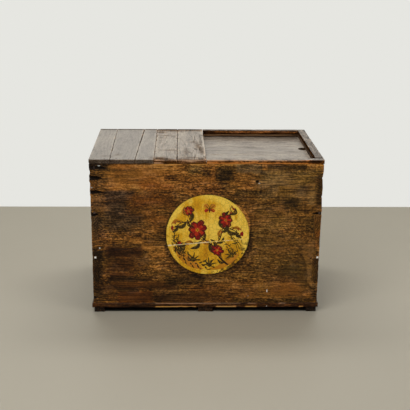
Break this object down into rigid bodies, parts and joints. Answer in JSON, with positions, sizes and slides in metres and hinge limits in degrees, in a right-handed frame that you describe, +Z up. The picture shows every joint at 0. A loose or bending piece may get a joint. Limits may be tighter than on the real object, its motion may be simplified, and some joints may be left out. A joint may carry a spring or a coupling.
{
  "type": "storage chest",
  "caption": "Old dovetailed plank chest with fixed planks over half of its top, a lid that slides in grooves over the rest, and a round painted panel on its front.",
  "frame": {"origin": "on the floor under the middle of the chest's overall box", "axes": "+X along the chest to the viewer's right, +Y from front to back, +Z up"},
  "size_m": [0.808, 0.538, 0.5585],
  "materials": {
    "lacquered_wood": "worn dark lacquer over amber wood, satin, crackled",
    "bare_wood": "unfinished planed softwood, darkened by age, matt",
    "bottom_wood": "dark stained boards with a pale worn edge, matt",
    "skid_wood": "dark rough-sawn runners, matt",
    "worn_top_wood": "grey-brown rubbed planks, satin",
    "rim_wood": "orange-brown rails with rubbed pale edges, satin",
    "lid_wood": "grey-brown rubbed boards, satin",
    "painted_ground": "ochre gesso and paint, cracked and rubbed, low sheen",
    "iron": "rusted forged iron",
    "bamboo": "split bamboo, satin"
  },
  "bodies": {
    "carcase": {"front_board_upper": "lacquered_wood", "front_board_lower": "lacquered_wood", "back_board_upper": "bare_wood", "back_board_lower": "bare_wood", "left_side_board_upper": "lacquered_wood", "left_side_board_lower": "lacquered_wood", "right_side_board_upper": "lacquered_wood", "right_side_board_lower": "lacquered_wood", "bottom_board_1": "bottom_wood", "bottom_board_2": "bottom_wood", "bottom_board_3": "bottom_wood", "skid_left": "skid_wood", "skid_middle": "skid_wood", "skid_right": "skid_wood", "top_plank_1": "worn_top_wood", "top_plank_2": "worn_top_wood", "top_plank_3": "worn_top_wood", "top_plank_4": "worn_top_wood", "top_plank_5": "worn_top_wood", "rim_rail_front": "rim_wood", "rim_rail_rear": "rim_wood", "rim_rail_right": "rim_wood", "medallion_upper": "painted_ground", "medallion_lower": "painted_ground", "top_plank_nails": "iron", "rim_nails": "iron", "bottom_nails": "iron", "skid_nails": "iron", "corner_nails": "iron", "front_board_pegs": "bamboo", "back_board_pegs": "bamboo", "left_side_pegs": "bamboo", "right_side_pegs": "bamboo"},
    "lid": {"lid_board_1": "lid_wood", "lid_board_2": "lid_wood", "lid_board_3": "lid_wood", "lid_batten_left": "bare_wood", "lid_batten_right": "bare_wood", "lid_batten_nails": "iron", "lid_pegs": "bamboo"}
  },
  "joints": [
    {"name": "lid_slide", "type": "slide", "parent": "carcase", "child": "lid", "axis": [-1, 0, 0], "range_m": [0, 0.348]}
  ]
}
